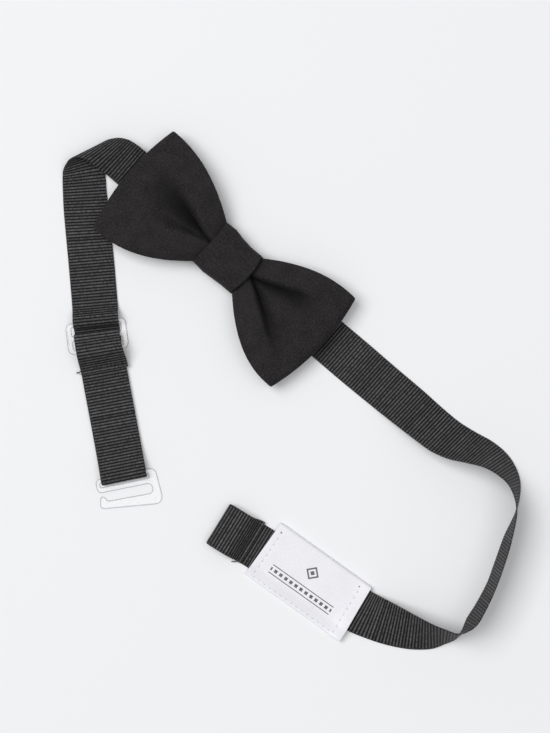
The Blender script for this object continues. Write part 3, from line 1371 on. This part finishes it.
# %% Effect: printed ornament
ornament, ornament_in, ornament_out = effect(
    "printed ornament", {"Place": ("Vector", None)}, {"Ink": "Float"})
at = add_node(ornament, "ShaderNodeSeparateXYZ", {"Vector": ornament_in.outputs["Place"]})


def figure(operation, *values):
    """A Math node's result in the ornament's group."""
    return maths(ornament, operation, *values)


def from_centre(axis, centre):
    """How far a point is from the figure's centre line."""
    return figure("ABSOLUTE", figure("SUBTRACT", at.outputs[axis], centre))


def within(value, limit):
    """1 where the value is less than the limit, and 0 elsewhere."""
    return figure("LESS_THAN", value, limit)


def lozenge_way(x, y):
    """The distance from (x, y) along X plus that along Y, which is even all round a lozenge."""
    return figure("ADD", from_centre(0, x), from_centre(1, y))


MIDDLE_X, LOZENGE_Y, DASHES_Y = -1.0, 4.0, -4.8
diamond = lozenge_way(MIDDLE_X, LOZENGE_Y)
frame_line = within(figure("ABSOLUTE", figure("SUBTRACT", diamond, 2.8)), 0.5)
heart = within(diamond, 1.2)
short = within(from_centre(0, MIDDLE_X), 16.2)
from_dashes = from_centre(1, DASHES_Y)
rules = within(figure("ABSOLUTE", figure("SUBTRACT", from_dashes, 1.9)), 0.2)
step = figure("PINGPONG", figure("SUBTRACT", at.outputs[0], MIDDLE_X), 1.35)
dashes = figure("MULTIPLY", within(step, 0.75), within(from_dashes, 0.75))
lines = figure("MULTIPLY", short, figure("MAXIMUM", rules, dashes))
marks = [within(lozenge_way(x, y), 0.42) for x, y in ((-22.6, 10.6), (19.1, 11.1))]
ink = figure("MAXIMUM", lines, figure(
    "MAXIMUM", figure("MAXIMUM", *marks), figure("MAXIMUM", frame_line, heart)))
ornament.links.new(ink, ornament_out.inputs["Ink"])
print("effect:", ornament.name)

# %% [markdown]
# Satin has long smooth threads, so it shines a little. The ink is a little uneven, as the cloth is.

# %% The label's finish
label_satin, tree, shader = new_material("white label satin", Roughness=0.42, Sheen_Weight=0.1)
uv = cloth_place(tree)
tone = use(tree, dye, Place=uv, Cloud_size=9.0, Grain_size=0.7, Lint=0.0)
shade = tone.outputs["Shade"]
white = blend_colours(tree, shade, (0.80, 0.795, 0.845, 1), (0.90, 0.895, 0.94, 1))
mark = use(tree, ornament, Place=uv).outputs["Ink"]
faded = product(tree, mark, maths(tree, "MULTIPLY_ADD", shade, 0.15, 0.84))
printed = blend_colours(tree, faded, white, (0.035, 0.035, 0.04, 1))
tree.links.new(printed, shader.inputs["Base Color"])
put_bump(tree, shader, use(tree, weave, Place=uv, Thread_pitch=0.3).outputs["Height"], 0.12, 0.03)
dress(label, label_satin, "root", ("label",))

# %% The label's running stitch
def label_stitches():
    """The thread lies on the label between every second pair of needle holes and is inside it in
    between. Each visible stitch is an arc from hole to hole."""
    paths = []
    for a, b in zip(needle[:-1:2], needle[1::2]):
        t = np.linspace(0.15, 0.85, 9)[:, None]
        flat_way = a + (b - a) * t
        z = label_front(flat_way[:, 0], flat_way[:, 1]) + LABEL_THICKNESS / 2
        arch = 0.1 - 0.32 * ((t[:, 0] - 0.5) / 0.35) ** 4
        paths.append(on_table(np.column_stack([flat_way, z + arch])))
    return paths


sewing("label_running_stitch", label_stitches(), 0.13, "root", "label_stitches", "white")

# %% [markdown]
# ## The stiffener inside the knot
#
# A strip of interlining lies inside the knot band over its front. It is hidden, but whoever takes
# the knot apart finds it. It is the band's outline drawn inwards, cut off above the back.

# %% Knot interlining
STIFFENER_FOOT, STIFFENER_IN = 6, 1.45


def knot_stiffener():
    """The part of the band's outline above its foot, drawn inwards, carried along the knot."""
    keep = outline[:, 1] > STIFFENER_FOOT
    arch = (outline - outwards * STIFFENER_IN)[keep]
    x = np.linspace(-9.2, 11, 30)
    return grid_of(x[None, :], arch[:, :1], arch[:, 1:])


surface = knot_stiffener()
half = np.full(surface.shape[:2], LINING_HALF)
stiffener = cloth_piece("knot_stiffener", surface, half, surface[..., :2])
dress(stiffener, lining_cloth, "root", ("knot_interlining",))

# %% [markdown]
# ## The table
#
# The table is a plain pale surface, large enough to fill the picture and to be seen under the tie
# from any side. It isn't part of the tie.

# %% Table
TABLE_REACH, TABLE_HEIGHT = 2000, -0.12

table_top, _, _ = new_material(
    "pale table", Base_Color=(0.90, 0.905, 0.92, 1), Roughness=0.7, Specular_IOR_Level=0.2)
table_mesh = bpy.data.meshes.new("table")
corners = [(x * TABLE_REACH * MM, y * TABLE_REACH * MM, TABLE_HEIGHT * MM)
           for x, y in ((-1, -1), (1, -1), (1, 1), (-1, 1))]
table_mesh.from_pydata(corners, [], [(0, 1, 2, 3)])
table_mesh.materials.append(table_top)
table = bpy.data.objects.new("table", table_mesh)
bpy.context.scene.collection.objects.link(table)
